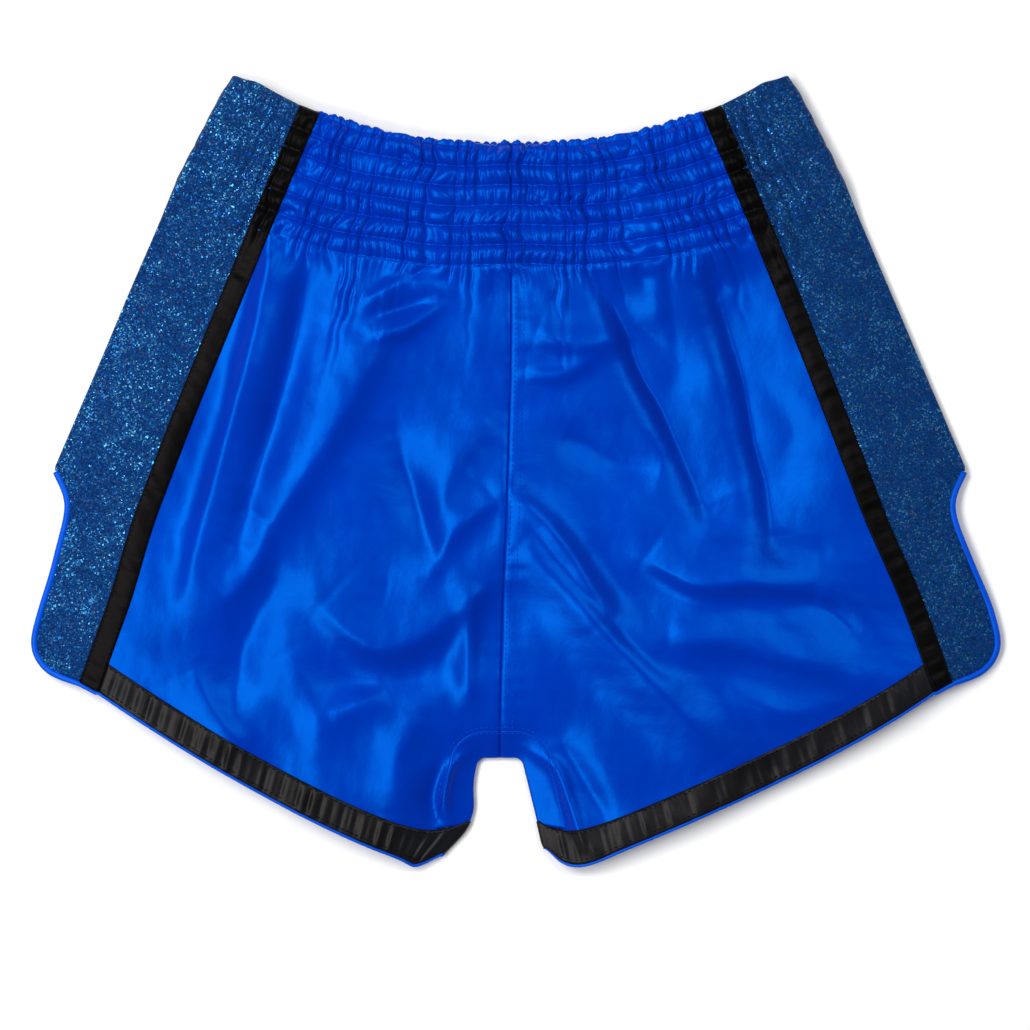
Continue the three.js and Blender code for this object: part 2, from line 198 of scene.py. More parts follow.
WAIST_CORNER = waist_edge(WAIST_HALF)
BAND_FOOT_Y = WAIST_CORNER[1] - BAND * SIDE_GATHER
VENT_HALF = HEM_HALF - VENT_INSET
SIDE_LINE = np.array([
    WAIST_CORNER,
    (BAND_FOOT_HALF, BAND_FOOT_Y),
    (VENT_HALF, VENT_TOP),
    (HEM_HALF, VENT_CORNER),
])


def side_x(y):
    return np.interp(y, SIDE_LINE[::-1, 1], SIDE_LINE[::-1, 0])


def side_fold_r(y):
    return mix(FOLD_R, BAND_FOLD_R, smooth(BAND_FOOT_Y - 26, BAND_FOOT_Y, y))


LEG_LEAN = math.atan2(LEG_SPREAD, INSEAM)
LEG_FLAT, LEG_TURN = 0.15, 0.4     # shares of the inner leg's line: along the crotch, and its corner


def inner_leg(t, inset):
    t = np.asarray(t, float)
    centre = np.array([CROTCH_HALF - CROTCH_ROUND, -CROTCH_ROUND])
    angle = mix(math.pi / 2, LEG_LEAN, np.clip((t - LEG_FLAT) / (LEG_TURN - LEG_FLAT), 0, 1))
    turn = centre + xy(np.cos(angle), np.sin(angle)) * (CROTCH_ROUND + inset)
    length = (INSEAM - CROTCH_ROUND) / math.cos(LEG_LEAN)
    down = np.clip((t - LEG_TURN) / (1 - LEG_TURN), 0, None)[..., None] * length
    point = turn + down * np.array([math.sin(LEG_LEAN), -math.cos(LEG_LEAN)])
    flat = xy(centre[0] * t / LEG_FLAT, inset)
    return np.where((t < LEG_FLAT)[..., None], flat, point)


def inner_leg_out(t):
    a, b = inner_leg(np.maximum(t - 0.02, 0), FOLD_R), inner_leg(np.minimum(t + 0.02, 1), FOLD_R)
    step = (b - a) / np.linalg.norm(b - a, axis=-1, keepdims=True)
    return xy(step[..., 1], -step[..., 0])


RIBBON_FOOT = np.array([HEM_HALF - RIBBON_FOOT_INSET, VENT_CORNER - RIBBON_FOOT_DROP])
HEM_SPAN = RIBBON_FOOT - np.array([CROTCH_HALF + LEG_SPREAD, -INSEAM])
HEM_SLOPE = HEM_SPAN[1] / HEM_SPAN[0]
SLANT = math.hypot(1, HEM_SLOPE)
RIBBON_LEAN = math.atan2(RIBBON_FOOT[0] - RIBBON_TOP, waist_edge(RIBBON_TOP)[1] - RIBBON_FOOT[1])
RIBBON_ACROSS = RIBBON / math.cos(RIBBON_LEAN)


def ribbon_edge(t, across):
    t = np.asarray(t, float)
    top = waist_edge(RIBBON_TOP - across)
    foot = RIBBON_FOOT + np.array([-across, -across * (HEM_SLOPE + HEM_SAG / HEM_SPAN[0])])
    return mix(top, foot, t[..., None]) + xy(RIBBON_BOW * 4 * t * (1 - t), 0)


RIBBON_LENGTH = np.linalg.norm(ribbon_edge(0, 0) - ribbon_edge(1, 0))


def up_ribbon(depth):
    return 1 - depth * SLANT / RIBBON_LENGTH


def up_leg(depth):
    return 1 - depth * SLANT * (1 - LEG_TURN) / (INSEAM - CROTCH_ROUND)


def hem_line(u, depth):
    """Along the hem, at a depth inside its edge, from the ribbon (u = 0) to the inner leg fold (u = 1)."""
    u = np.asarray(u, float)
    start = ribbon_edge(up_ribbon(depth), RIBBON_ACROSS)
    end = inner_leg(up_leg(depth), FOLD_R + CLOTH / 2)
    sag = HEM_SAG * (1 - (1 - u) ** 3) * (1 - u**14)
    return mix(start, end, u[..., None]) - xy(0 * u, sag)


VENT_LINE = spline([
    RIBBON_FOOT,
    (HEM_HALF - VENT_ROUND * 0.6, VENT_CORNER - VENT_ROUND),
    (HEM_HALF, VENT_CORNER),
    (HEM_HALF - VENT_INSET * 0.25, mix(VENT_CORNER, VENT_TOP, 0.2)),
    (HEM_HALF - VENT_INSET * 0.65 - VENT_NOTCH * 0.6, mix(VENT_CORNER, VENT_TOP, 0.5)),
    (VENT_HALF - VENT_NOTCH, mix(VENT_CORNER, VENT_TOP, 0.8)),
    (VENT_HALF - 1.5, VENT_TOP),
])
VENT_CORNER_AT = 0.24    # share of the vent's line where its lower corner has turned


def vent_line(t, inset):
    point = along(VENT_LINE, t)
    step = along(VENT_LINE, np.minimum(t + 0.01, 1)) - along(VENT_LINE, np.maximum(t - 0.01, 0))
    step /= np.linalg.norm(step, axis=-1, keepdims=True)
    return point + xy(-step[..., 1], step[..., 0]) * inset


def ribbon_x(y):
    t = np.linspace(-0.1, 1.1, 60)
    line = ribbon_edge(t, 0)
    return np.interp(y, line[::-1, 1], line[::-1, 0])


def coons(top, bottom, left, right, u, v):
    """A patch between four edges, each a function of 0 to 1; u runs across and v down."""
    top_line, bottom_line = top(u)[None], bottom(u)[None]
    left_line, right_line = left(v)[:, None], right(v)[:, None]
    uu, vv = u[None, :, None], v[:, None, None]
    across = mix(top_line, bottom_line, vv)
    down = mix(left_line, right_line, uu)
    corners = mix(
        mix(top_line[:, :1], top_line[:, -1:], uu), mix(bottom_line[:, :1], bottom_line[:, -1:], uu), vv
    )
    return across + down - corners


# ---------------------------------------------------------------- folds and gathers
def fan(x, y):
    """Share of the way from the centre seam to the ribbon: gathers run along lines of equal share."""
    return x / ribbon_x(y)


def band_depth(x, y):
    """Distance below the waist edge."""
    origin = np.abs(fan(x, y)) * RIBBON_TOP
    return waist_edge(origin)[..., 1] - y


ROWS = ROW_PITCH * (np.arange(ROW_COUNT) + 1.0)


def wander(q):
    """How far the stitched rows stray from straight."""
    return 1.1 * waves(q * 60, 0 * q, 24, 77) * smooth(1.25, 1.0, np.abs(q))


def gathers(x, y, seed):
    """Height of the pleats that the elastic draws up: puffs between the stitched rows, pinched at each."""
    q = fan(x, y)
    depth = band_depth(x, y) + wander(q)
    row = np.floor(np.clip(depth, 0, BAND + 3) / ROW_PITCH)
    shift = 0.24 * waves(q * 60, depth, 20, seed + 1) + 0.22 * np.sin(12.9 * row + 17 * q)
    turns = 12.0 * q + 0.55 * np.sin(14.1 * q + seed) + 0.35 * np.sin(31.7 * q + 2.0 * seed) + shift
    fine = 27.0 * q + 0.7 * np.sin(23.0 * q + seed + 1) + 2.4 * shift
    broad = np.abs(np.sin(math.pi * turns)) ** 0.55
    narrow = np.abs(np.sin(math.pi * fine)) ** 0.7
    strength = 0.8 + 0.35 * waves(q * 100, depth * 0.6, 22, seed + 2)
    puff = np.abs(np.sin(math.pi * np.clip(depth, 0.5, BAND + 2) / ROW_PITCH)) ** 0.55
    long_pleat = np.clip(waves(q * 100, 0 * q, 15, seed + 3), 0, 2)
    below = np.clip(depth - BAND, 0, None)
    fade = np.exp(-((below / (7 + 20 * long_pleat)) ** 1.2))
    small = np.exp(-below / 5)
    in_band = smooth(BAND + 5, BAND - 1, depth)
    pleat = 4.4 * strength * broad * fade + 1.3 * narrow * small
    height = pleat * mix(1, 0.42 + 0.58 * puff, in_band) + 1.3 * (puff - 0.7) * in_band
    return height * mix(1, 0.42, smooth(0.97, 1.1, np.abs(q)))


FOLD_HEIGHT = 1.45       # one knob for the heights below


# Folds of the front as a sewer would chalk them on: points from end to end, then how far the fold
# reaches to the left and to the right of that direction, then its height (below zero is a valley).
FOLDS = [
    # left leg
    ([(-128, 288), (-147, 203), (-178, 92)], 19, 7, 5.0),
    ([(-110, 276), (-122, 214), (-148, 120)], 12, 8, -4.4),
    ([(-72, 230), (-100, 175), (-130, 130)], 10, 27, 4.6),
    ([(-130, 130), (-141, 104), (-156, 88)], 7, 12, 2.6),
    ([(-80, 250), (-60, 262), (-36, 258)], 5, 6, 2.8),
    ([(-74, 232), (-58, 236), (-40, 248)], 6, 4, 2.4),
    ([(-76, 243), (-60, 248), (-44, 253)], 4, 4, -1.4),
    ([(-7, 143), (-28, 126), (-42, 100)], 7, 19, 3.8),
    ([(-12, 188), (-30, 160), (-37, 134)], 9, 14, 2.4),
    ([(-62, 176), (-48, 138), (-36, 104)], 8, 11, -3.2),
    ([(-100, 86), (-73, 64), (-44, 68), (-11, 96)], 27, 9, 4.4),
    ([(-96, 48), (-60, 44), (-26, 58)], 12, 14, -2.4),
    ([(-17, 88), (-18, 60), (-17, 34)], 6, 7, 2.8),
    ([(-176, 50), (-162, 24), (-142, 4)], 8, 14, 2.6),
    ([(-128, 96), (-146, 62), (-150, 30)], 10, 12, -2.4),
    ([(-94, 22), (-80, 30), (-62, 38)], 8, 10, 2.2),
    ([(-120, 60), (-104, 30), (-100, -2)], 12, 12, 2.0),
    ([(-13, 4), (-25, -2), (-30, -15), (-31, -28), (-25, -35), (-17, -34)], 2.8, 3, 2.3),
    ([(-33, -4), (-38, -20), (-36, -36)], 5, 6, -2.4),
    ([(-46, 26), (-56, 0), (-54, -28)], 9, 12, 2.4),
    # right leg
    ([(44, 276), (61, 241), (73, 216), (92, 176), (108, 140)], 30, 7, -6.4),
    ([(108, 274), (127, 215), (141, 158), (145, 122)], 25, 8, -6.6),
    ([(78, 112), (104, 98), (135, 97), (166, 92)], 27, 7, 5.2),
    ([(90, 68), (130, 62), (185, 46)], 15, 9, 3.8),
    ([(150, 90), (172, 84), (188, 68)], 6, 7, -2.0),
    ([(4, 147), (35, 114), (58, 76)], 8, 13, 4.2),
    ([(8, 118), (34, 92), (86, 38), (118, 0)], 14, 15, 5.4),
    ([(14, 128), (44, 92), (88, 48)], 5, 5, -1.6),
    ([(14, 234), (36, 227), (60, 231)], 11, 7, 3.4),
    ([(8, 212), (26, 211), (44, 219)], 6, 5, 2.4),
    ([(30, 180), (58, 166), (84, 160)], 13, 12, -2.8),
    ([(15, 5), (30, -3), (38, -22), (45, -42), (52, -48)], 4, 4, 2.4),
    ([(34, 10), (48, -14), (60, -34)], 7, 7, -2.2),
    ([(120, 40), (150, 26), (180, 32)], 9, 9, 2.0),
]


def strokes(x, y):
    """The large folds that lie in the front of the legs."""
    total = np.zeros(np.shape(x))
    for corners, left, right, height in FOLDS:
        line = spline(corners, 6)
        near = np.full(np.shape(x), np.inf)
        place, width = np.zeros(np.shape(x)), np.ones(np.shape(x))
        for k, (a, b) in enumerate(zip(line, line[1:])):
            d = b - a
            t = np.clip(((x - a[0]) * d[0] + (y - a[1]) * d[1]) / (d @ d), 0, 1)
            gap = np.hypot(x - a[0] - t * d[0], y - a[1] - t * d[1])
            turn = (d[0] * (y - a[1]) - d[1] * (x - a[0])) / (np.linalg.norm(d) * np.maximum(gap, 1e-6))
            closer = gap < near
            near = np.where(closer, gap, near)
            place = np.where(closer, (k + t) / (len(line) - 1), place)
            width = np.where(closer, mix(right, left, 0.5 + 0.5 * np.clip(turn, -1, 1)), width)
        taper = np.sin(math.pi * np.clip(mix(0.1, 0.9, place), 0, 1)) ** 0.8
        total += FOLD_HEIGHT * height * taper * np.exp(-((near / width) ** 1.7))
    return total


def inner_leg_gap(x, y):
    """Distance from the inner leg's fold line."""
    line = inner_leg(np.linspace(0, 1.1, 30), FOLD_R + CLOTH / 2)
    x = np.abs(x)
    near = np.full(np.shape(x), np.inf)
    for a, b in zip(line, line[1:]):
        d = b - a
        t = np.clip(((x - a[0]) * d[0] + (y - a[1]) * d[1]) / (d @ d), 0, 1)
        near = np.minimum(near, np.hypot(x - a[0] - t * d[0], y - a[1] - t * d[1]))
    return near


def rise_share(x, y):
    """0 on the side and inner leg folds, 1 well inside them."""
    from_side = np.clip((side_x(y) - side_fold_r(y) - np.abs(x)) / 60, 0, 1)
    from_leg = np.clip(inner_leg_gap(x, y) / 44, 0, 1)
    return np.sin(math.pi / 2 * from_side) * np.sin(math.pi / 2 * from_leg)


def front_height(x, y):
    """Middle of the front cloth. A deep valley rests on the back cloth instead of going through it."""
    share = rise_share(x, y)
    low = 2 * side_fold_r(y)
    calm = smooth(0.0, 0.5, share)
    below_band = smooth(BAND - 4, BAND + 26, band_depth(x, y))
    drape = strokes(x, y) + 1.2 * waves(x, y, 80, 5) + 0.24 * waves(x, y, 30, 6) + 0.07 * waves(x, y, 10, 7)
    seam = -0.6 * bump(x, 1.7) + 0.3 * waves(y, 0 * y, 9, 51) * bump(x - 5, 8)
    height = low + (LOFT - low) * share + seam * below_band
    height = height + gathers(x, y, 3) * mix(0.35, 1, calm) + drape * below_band * mix(0.12, 1, calm)
    resting = back_height(x, y) + CLOTH + LEAST_AIR
    return resting + REST_EASE * np.logaddexp(0, (height - resting) / REST_EASE)


def back_height(x, y):
    """Middle of the back cloth: its outer face is down, so its ridges touch the surface it lies on."""
    below_band = smooth(BAND - 4, BAND + 26, band_depth(x, y))
    calm = smooth(0.0, 0.5, rise_share(x, y))
    relief = 0.6 * (3.0 - gathers(-x, y, 11)) * mix(0.4, 1, calm)
    drape = 0.8 * waves(x, y, 80, 15) + 0.1 * waves(x, y, 22, 16) + 0.3 * strokes(-x, y) + 1.5
    drape = drape * mix(0.3, 1, calm)
    return OVER + CLOTH + THREAD_RADIUS + np.clip(mix(relief, drape, below_band), 0, None)


# ---------------------------------------------------------------- meshes
def normals(grid):
    down = np.gradient(grid, axis=0)
    across = np.gradient(grid, axis=1)
    n = np.cross(down, across)
    return n / np.maximum(np.linalg.norm(n, axis=-1, keepdims=True), 1e-9)


def shell(name, grid, thickness, material, side=RIGHT, hole=None):
    """A grid of points (rows, columns, 3) in millimetres as a closed sheet with a thickness.
    hole(i, j) is true for the cells that are left out. The UV map is in metres along the cloth."""
    n = normals(grid)
    rows, columns = grid.shape[:2]
    points = np.vstack([(grid + n * thickness / 2).reshape(-1, 3), (grid - n * thickness / 2).reshape(-1, 3)])
    i, j = np.meshgrid(np.arange(rows - 1), np.arange(columns - 1), indexing="ij")
    keep = np.ones(i.shape, bool) if hole is None else ~hole(i, j)
    a = i * columns + j
    top = np.stack([a, a + columns, a + columns + 1, a + 1], -1)[keep]
    under = (top + rows * columns)[:, ::-1]
    walls = []
    padded = np.pad(keep, 1)
    for di, dj, first, second in ((-1, 0, 1, 0), (1, 0, columns, columns + 1), (0, -1, 0, columns),
                                  (0, 1, columns + 1, 1)):
        edge = keep & ~padded[1 + di:rows + di, 1 + dj:columns + dj]
        p, q = (a + first)[edge], (a + second)[edge]
        walls.append(np.stack([p, p + rows * columns, q + rows * columns, q], -1))
    faces = np.vstack([top, under] + walls)
    used, faces = np.unique(faces, return_inverse=True)
    faces = faces.reshape(-1, 4)
    points = points[used]
    points[:, 0] *= side
    if volume(points, faces) < 0:
        faces = faces[:, ::-1]
    mesh = bpy.data.meshes.new(name)
    mesh.from_pydata(to_frame(points).tolist(), [], faces.tolist())
    spacing_u = np.linalg.norm(np.diff(grid, axis=1), axis=-1)
    spacing_v = np.linalg.norm(np.diff(grid, axis=0), axis=-1)
    u = np.pad(np.cumsum(spacing_u, axis=1), ((0, 0), (1, 0)))
    v = np.pad(np.cumsum(spacing_v, axis=0), ((1, 0), (0, 0)))
    flat = np.stack([u, v], -1).reshape(-1, 2) * MM
    flat = np.vstack([flat, flat])[used]
    layer = mesh.uv_layers.new(name="cloth")
    layer.data.foreach_set("uv", flat[faces.ravel()].ravel())
    return finished(name, mesh, material)


def volume(points, faces):
    p = points[faces]
    one = np.einsum("ij,ij->i", p[:, 0], np.cross(p[:, 1], p[:, 2]))
    two = np.einsum("ij,ij->i", p[:, 0], np.cross(p[:, 2], p[:, 3]))
    return (one + two).sum() / 6


def lift(flat, height, side, extra=0.0):
    """Flat points with the height of the front or the back of that half."""
    z = height(side * flat[..., 0], flat[..., 1]) + extra
    return np.concatenate([flat, z[..., None]], -1)


def wrap(flat, out, side, extra=0.0, height=front_height, low_height=back_height, bend_steps=8):
    """The front, a round fold at its last column and the back, as one grid of points."""
    front = lift(flat, height, side, extra)
    back = lift(flat, low_height, side, -extra)
    top, low = front[:, -1:], back[:, -1:]
    angle = np.linspace(math.pi / 2, -math.pi / 2, bend_steps + 1)[1:-1][None, :, None]
    radius = (top[..., 2:] - low[..., 2:]) / 2
    middle = (top + low) / 2
    turn = np.concatenate([
        middle[..., :2] + out[:, None] * radius * np.cos(angle),
        middle[..., 2:] + radius * np.sin(angle),
    ], -1)
    return np.concatenate([front, turn, back[:, ::-1]], 1)


def blurred(line, times):
    for _ in range(times):
        line = (np.concatenate([line[:1], line[:-1]]) + 2 * line + np.concatenate([line[1:], line[-1:]])) / 4
    return line


def turned_in(grid, outward, radius=1.0, depth=1.2):
    """Adds the waist edge's turning: the cloth goes over the top and a little way down inside."""
    n = blurred(normals(grid)[0] * outward, 12)
    n /= np.linalg.norm(n, axis=-1, keepdims=True)
    up = blurred(grid[0] - grid[2], 6)
    up /= np.linalg.norm(up, axis=-1, keepdims=True)
    rows = [grid[0] - 2 * radius * n - up * depth, grid[0] - 2 * radius * n - up * depth / 2]
    for angle in np.linspace(-math.pi / 2, math.pi / 2, 7)[:-1]:
        rows.append(grid[0] - radius * n + radius * (n * math.sin(angle) + up * math.cos(angle)))
    return np.concatenate([np.array(rows), grid])


def tube(name, path, level, half_width, half_height, material, side=RIGHT, sides=10):
    """A closed tube with an oval section along a path; level points along the section's width."""
    step = np.gradient(path, axis=0)
    step /= np.linalg.norm(step, axis=-1, keepdims=True)
    level = level - (level * step).sum(-1, keepdims=True) * step
    level /= np.linalg.norm(level, axis=-1, keepdims=True)
    upright = np.cross(step, level)
    angle = np.linspace(0, 2 * math.pi, sides, endpoint=False)[None, :, None]
    width = level[:, None] * np.reshape(half_width, (-1, 1, 1)) * np.cos(angle)
    rings = path[:, None] + width + upright[:, None] * half_height * np.sin(angle)
    count = len(path)
    points = np.vstack([rings.reshape(-1, 3), path[:1], path[-1:]])
    points[:, 0] *= side
    i, j = np.meshgrid(np.arange(count - 1), np.arange(sides), indexing="ij")
    k = (j + 1) % sides
    quads = np.stack([i * sides + j, i * sides + k, (i + 1) * sides + k, (i + 1) * sides + j], -1)
    quads = quads.reshape(-1, 4)
    ring = np.arange(sides)
    after = (ring + 1) % sides
    first, last = count * sides, count * sides + 1
    caps = [(first, int(b), int(a)) for a, b in zip(ring, after)]
    caps += [(last, int(first - sides + a), int(first - sides + b)) for a, b in zip(ring, after)]
    if volume(points, quads) < 0:
        quads = quads[:, ::-1]
        caps = [cap[::-1] for cap in caps]
    mesh = bpy.data.meshes.new(name)
    mesh.from_pydata(to_frame(points).tolist(), [], quads.tolist() + caps)
    return finished(name, mesh, material)


def finished(name, mesh, material):
    mesh.polygons.foreach_set("use_smooth", np.ones(len(mesh.polygons), bool))
    mesh.materials.append(material)
    obj = bpy.data.objects.new(name, mesh)
    bpy.context.scene.collection.objects.link(obj)
    return obj


# ---------------------------------------------------------------- materials
def linear(hex_colour, alpha=1.0):
    """sRGB hex to linear colour."""
    parts = [int(hex_colour[k:k + 2], 16) / 255 for k in (1, 3, 5)]
    turned = [c / 12.92 if c <= 0.04045 else ((c + 0.055) / 1.055) ** 2.4 for c in parts]
    return (*turned, alpha)


def node(tree, kind, settings=None, links=None):
    """Adds a node; settings are its own properties or its inputs' values, links are inputs to outputs.
    The setting "stops" is a colour ramp's list of places and colours."""
    made = tree.nodes.new(kind)
    for key, value in (settings or {}).items():
        if key == "stops":
            elements = made.color_ramp.elements
            while len(elements) < len(value):
                elements.new(0.5)
            for element, (place, colour) in zip(elements, value):
                element.position = place
                element.color = colour
        elif isinstance(key, str) and hasattr(made, key):
            setattr(made, key, value)
        else:
            made.inputs[key].default_value = value
    for key, output in (links or {}).items():
        tree.links.new(output, made.inputs[key])
    return made


def cloth_material(name):
    """A new material with its Principled shader and the Object coordinates in millimetres."""
    material = bpy.data.materials.new(name)
    material.use_nodes = True
    tree = material.node_tree
    shader = tree.nodes["Principled BSDF"]
    place = node(tree, "ShaderNodeTexCoord")
    millimetres = node(tree, "ShaderNodeVectorMath", {"operation": "SCALE", "Scale": 1000.0},
                       {0: place.outputs["Object"]})
    return material, tree, shader, millimetres.outputs[0]


def satin(name, dark, light, tint, roughness=0.36, ior=1.75):
    """Polyester satin: long floats of filament yarn give a broad, coloured gloss, and hardly any white
    shine. The dye varies a little over 40 mm, and small creases break up the gloss."""
    material, tree, shader, where = cloth_material(name)
    dye = node(tree, "ShaderNodeTexNoise", {"Scale": 1 / 40, "Detail": 3}, {"Vector": where})
    colour = node(tree, "ShaderNodeValToRGB", {"stops": [(0.3, linear(dark)), (0.7, linear(light))]},
                  {"Fac": dye.outputs["Fac"]})
    tree.links.new(colour.outputs["Color"], shader.inputs["Base Color"])
    # The yarns are 0.1 mm apart, too fine to see, so they are drawn as faint streaks 0.8 mm wide.
    drawn_out = node(tree, "ShaderNodeMapping", {"Scale": (1, 0.12, 1)}, {"Vector": where})
    yarns = node(tree, "ShaderNodeTexNoise", {"Scale": 1 / 0.8, "Detail": 2},
                 {"Vector": drawn_out.outputs[0]})
    creases = node(tree, "ShaderNodeTexNoise", {"Scale": 1 / 4.5, "Detail": 3}, {"Vector": where})
    fine = node(tree, "ShaderNodeBump", {"Distance": 0.05 * MM, "Strength": 0.35},
                {"Height": yarns.outputs["Fac"]})
    normal = node(tree, "ShaderNodeBump", {"Distance": 0.28 * MM, "Strength": 0.5},
                  {"Height": creases.outputs["Fac"], "Normal": fine.outputs[0]})
    tree.links.new(normal.outputs[0], shader.inputs["Normal"])
    shader.inputs["Roughness"].default_value = roughness
    shader.inputs["IOR"].default_value = ior
    shader.inputs["Specular Tint"].default_value = linear(tint)
    shader.inputs["Sheen Weight"].default_value = 0.08
    shader.inputs["Sheen Roughness"].default_value = 0.4
    shader.inputs["Sheen Tint"].default_value = linear(tint)
    return material


FLAKE = 0.72             # width of a glitter flake, in millimetres


def glitter_cloth():
    """Knit with a foil print on navy: flakes about 0.7 mm wide, each tilted at random and coloured at random
    from navy up to pale sky blue. The paler flakes are painted glints that stand in for sparkle.
    """
    material, tree, shader, where = cloth_material("glitter_knit")
    cells = node(tree, "ShaderNodeTexVoronoi", {"Scale": 1 / FLAKE, "Randomness": 1.0}, {"Vector": where})
    parts = node(tree, "ShaderNodeSeparateColor", None, {0: cells.outputs["Color"]})
    clusters = node(tree, "ShaderNodeTexNoise", {"Scale": 1 / 14, "Detail": 3}, {"Vector": where})
    lively = node(tree, "ShaderNodeMath", {"operation": "MULTIPLY_ADD", 1: 0.5},
                  {0: clusters.outputs["Fac"], 2: parts.outputs[0]})
    level = node(tree, "ShaderNodeMath", {"operation": "MULTIPLY", 1: 0.8}, {0: lively.outputs[0]})
    # Painted glint: each flake is made lighter at random, from the knit's own navy up to pale sky blue, so
    # that the print sparkles even in soft light. The liveliest flakes are also made metallic below.
    navy_and_painted_glints = [
        (0.0, linear("#061C44")), (0.55, linear("#0A2C60")), (0.8, linear("#10407C")),
        (0.93, linear("#2468A4")), (1.0, linear("#58B0DC")),
    ]
    knit_and_painted_glint = node(tree, "ShaderNodeValToRGB", {"stops": navy_and_painted_glints}, {"Fac": level.outputs[0]})
    violet_and_green = [
        (0.0, linear("#3A2A78")), (0.012, linear("#2C6A6A")),
        (0.022, linear("#5A3458")), (0.03, linear("#2C5A6A")),
    ]
    specks = node(tree, "ShaderNodeValToRGB", {"stops": violet_and_green}, {"Fac": parts.outputs[1]})
    is_speck = node(tree, "ShaderNodeMath", {"operation": "LESS_THAN", 1: 0.03}, {0: parts.outputs[1]})
    colour = node(tree, "ShaderNodeMix", {"data_type": "RGBA"},
                  {0: is_speck.outputs[0], 6: knit_and_painted_glint.outputs["Color"], 7: specks.outputs["Color"]})
    tree.links.new(colour.outputs[2], shader.inputs["Base Color"])
    shine = node(tree, "ShaderNodeMath", {"operation": "GREATER_THAN", 1: 1.0}, {0: lively.outputs[0]})
    tree.links.new(shine.outputs[0], shader.inputs["Metallic"])
    tilt = node(tree, "ShaderNodeVectorMath", {"operation": "SUBTRACT", 1: (0.5, 0.5, 0.5)},
                {0: cells.outputs["Color"]})
    lean = node(tree, "ShaderNodeVectorMath", {"operation": "SCALE", "Scale": 0.9}, {0: tilt.outputs[0]})
    face = node(tree, "ShaderNodeNewGeometry")
    turned = node(tree, "ShaderNodeVectorMath", {"operation": "ADD"},
                  {0: face.outputs["Normal"], 1: lean.outputs[0]})
    unit = node(tree, "ShaderNodeVectorMath", {"operation": "NORMALIZE"}, {0: turned.outputs[0]})
    tree.links.new(unit.outputs[0], shader.inputs["Normal"])
    shader.inputs["Roughness"].default_value = 0.38
    shader.inputs["IOR"].default_value = 1.35
    shader.inputs["Specular Tint"].default_value = linear("#2458A4")
    return material


def elastic_web():
    """Woven elastic: white cords of rubber with cross threads, matt."""
    material, tree, shader, where = cloth_material("woven_elastic")
    ribs = node(tree, "ShaderNodeTexWave", {"Scale": 0.35, "Distortion": 0.6}, {"Vector": where})
    colour = node(tree, "ShaderNodeValToRGB", {"stops": [(0.0, linear("#BEBEB8")), (1.0, linear("#E6E6E0"))]},
                  {"Fac": ribs.outputs["Fac"]})
    tree.links.new(colour.outputs["Color"], shader.inputs["Base Color"])
    cords = node(tree, "ShaderNodeBump", {"Distance": 0.2 * MM, "Strength": 0.6},
                 {"Height": ribs.outputs["Fac"]})
    tree.links.new(cords.outputs[0], shader.inputs["Normal"])
    shader.inputs["Roughness"].default_value = 0.9
    return material


def thread(name, colour):
    """Polyester sewing thread: two twisted plies with a soft gloss."""
    material, tree, shader, where = cloth_material(name)
    plies = node(tree, "ShaderNodeTexNoise", {"Scale": 1 / 0.5, "Detail": 1}, {"Vector": where})
    shade = node(tree, "ShaderNodeValToRGB", {"stops": [(0.3, linear(colour[0])), (0.7, linear(colour[1]))]},
                 {"Fac": plies.outputs["Fac"]})
    tree.links.new(shade.outputs["Color"], shader.inputs["Base Color"])
    shader.inputs["Roughness"].default_value = 0.6
    shader.inputs["IOR"].default_value = 1.3
    shader.inputs["Specular Tint"].default_value = linear(colour[1])
    return material


SATIN = satin("blue_polyester_satin", "#002598", "#002BA4", "#0094FF")
RIBBON_SATIN = satin("black_satin_ribbon", "#020203", "#050506", "#8C8480", roughness=0.44, ior=1.27)
BAND_SATIN = satin("black_satin_band", "#08090C", "#101218", "#A8A29C", roughness=0.42, ior=1.42)
BINDING_SATIN = satin("blue_bias_binding", "#003CB4", "#0246C8", "#40A8FF", roughness=0.42, ior=1.6)
GLITTER = glitter_cloth()
ELASTIC = elastic_web()
BLUE_THREAD = thread("blue_thread", ("#0030A8", "#0A4CC8"))
BLACK_THREAD = thread("black_thread", ("#060607", "#0E0E10"))


# ---------------------------------------------------------------- the pieces

def spaced(*spans):
    """Shares with a number of steps in each span of (start, end, steps)."""
    parts = [np.linspace(start, end, steps, endpoint=False) for start, end, steps in spans]
    return np.r_[np.concatenate(parts), spans[-1][1]]


PANEL_DEPTH = BINDING + HEM_BAND
GUSSET_SHARE = 1 - GUSSET / np.linalg.norm(hem_line(0, PANEL_DEPTH) - hem_line(1, PANEL_DEPTH))
LEG_STOPS = np.linspace(LEG_FLAT, LEG_TURN, 12)


def leg_panel_flat(columns, rows):
    depth = PANEL_DEPTH - TUCK
    inset = GUSSET - TUCK
    last = hem_line(GUSSET_SHARE + TUCK / HEM_SPAN[0], depth)
    seam = np.vstack([[(0.03, RISE), (0.03, inset)], inner_leg(LEG_STOPS, inset), last[None]])
    return coons(
        lambda u: waist_edge(mix(0.03, RIBBON_TOP - RIBBON_ACROSS + TUCK, u)),
        lambda u: hem_line(mix(GUSSET_SHARE + TUCK / HEM_SPAN[0], -TUCK / HEM_SPAN[0], u), depth),
        lambda t: along(seam, t),
        lambda t: ribbon_edge(t * up_ribbon(depth), RIBBON_ACROSS - TUCK),
        np.linspace(0, 1, columns + 1), rows,
    )


def rounded_corner(flat):
    """The waist's side corner is drawn down a little by its fold."""
    x, y = flat[..., 0], flat[..., 1]
    drop = 5.0 * smooth(WAIST_HALF - 16, WAIST_HALF, x) * bump(band_depth(x, y), 9)
    return flat - xy(0 * x, drop)


